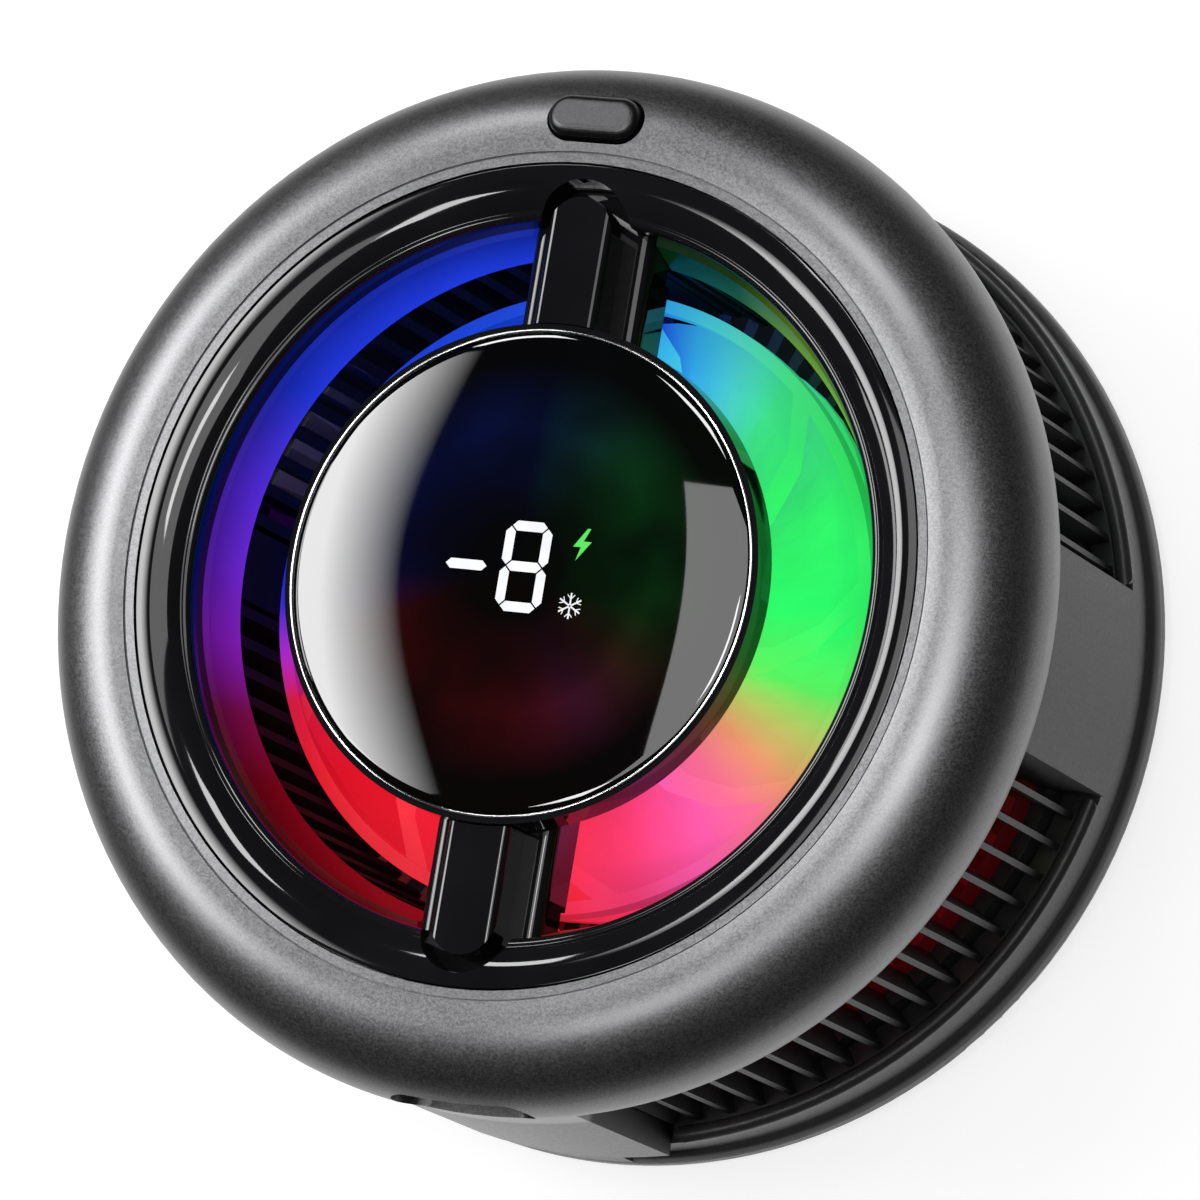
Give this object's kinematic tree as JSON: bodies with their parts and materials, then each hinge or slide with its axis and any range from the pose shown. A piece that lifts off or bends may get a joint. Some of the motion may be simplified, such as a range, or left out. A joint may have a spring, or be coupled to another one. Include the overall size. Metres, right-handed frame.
{
  "type": "phone cooling fan",
  "caption": "Round magnetic phone cooler: rolled front ring, lit fan round a central display, finned heat sink behind a vent cage, cold plate and magnet ring at the rear, side power inlet.",
  "frame": {"origin": "middle of the rear face, on the plane that meets the phone", "axes": "+Z out of the front face, +Y towards the power button, -Y towards the power inlet"},
  "size_m": [0.065, 0.0647, 0.0296],
  "materials": {
    "ring_satin": "satin gunmetal paint with a fine sparkle",
    "gloss_black": "high gloss black moulding",
    "black_glass": "polished black lens",
    "bright_trim": "bright plated rim",
    "circuit_board": "solder mask",
    "white_reflector": "white moulding",
    "lit_guide": "translucent light guide, lit in several colours",
    "led": "lit LED package",
    "cage_plastic": "fine matt moulding",
    "fin_metal": "black anodised fins",
    "ceramic": "white alumina plate",
    "pellet_alloy": "dark semiconductor alloy",
    "foam": "closed-cell foam",
    "plate_metal": "brushed plate",
    "silicone_grey": "soft silicone pad",
    "base_plastic": "fine matt moulding",
    "magnet_nickel": "nickel plated magnet",
    "silicone_black": "soft silicone ring",
    "socket_steel": "drawn steel shell",
    "socket_plastic": "moulded insulator",
    "button_satin": "satin gunmetal paint",
    "motor_steel": "pressed steel",
    "bearing_brass": "sintered bearing",
    "coil_copper": "enamelled copper wire",
    "lit_impeller": "translucent blades, lit in several colours",
    "screw_steel": "plated steel"
  },
  "bodies": {
    "housing": {"front_ring": "ring_satin", "bezel_funnel": "gloss_black", "bridge_bar": "gloss_black", "display_cup": "gloss_black", "display_lens": "black_glass", "lens_trim": "bright_trim", "display_board": "circuit_board", "digit_block": "white_reflector", "light_ring": "lit_guide", "led_board": "circuit_board", "led_chips": "led", "vent_cage": "cage_plastic", "heat_sink": "fin_metal", "hot_ceramic": "ceramic", "pellets": "pellet_alloy", "cold_ceramic": "ceramic", "foam_gasket": "foam", "cold_plate": "plate_metal", "thermal_pad": "silicone_grey", "rear_base": "base_plastic", "magnets": "magnet_nickel", "friction_ring": "silicone_black", "main_board": "circuit_board", "usb_shell": "socket_steel", "usb_tongue": "socket_plastic", "button_board": "circuit_board", "tact_switch": "socket_plastic", "motor_plate": "motor_steel", "motor_board": "circuit_board", "bearing_sleeve": "bearing_brass", "stator_core": "motor_steel", "stator_coils": "coil_copper", "case_screws": "screw_steel", "motor_screws": "screw_steel", "display_screws": "screw_steel"},
    "fan_rotor": {"impeller": "lit_impeller", "rotor_cup": "motor_steel", "rotor_magnet": "magnet_nickel", "shaft": "motor_steel"},
    "button": {"power_button": "button_satin", "switch_plunger": "socket_plastic"}
  },
  "joints": [
    {"name": "fan_spin", "type": "hinge", "parent": "housing", "child": "fan_rotor", "pos_m": [0, 0, 0], "axis": [0, 0, 1], "continuous": true},
    {"name": "button_press", "type": "slide", "parent": "housing", "child": "button", "axis": [0, -0.2079, -0.9781], "range_m": [0, 0.0004], "stiffness_N_per_m": 1500}
  ]
}
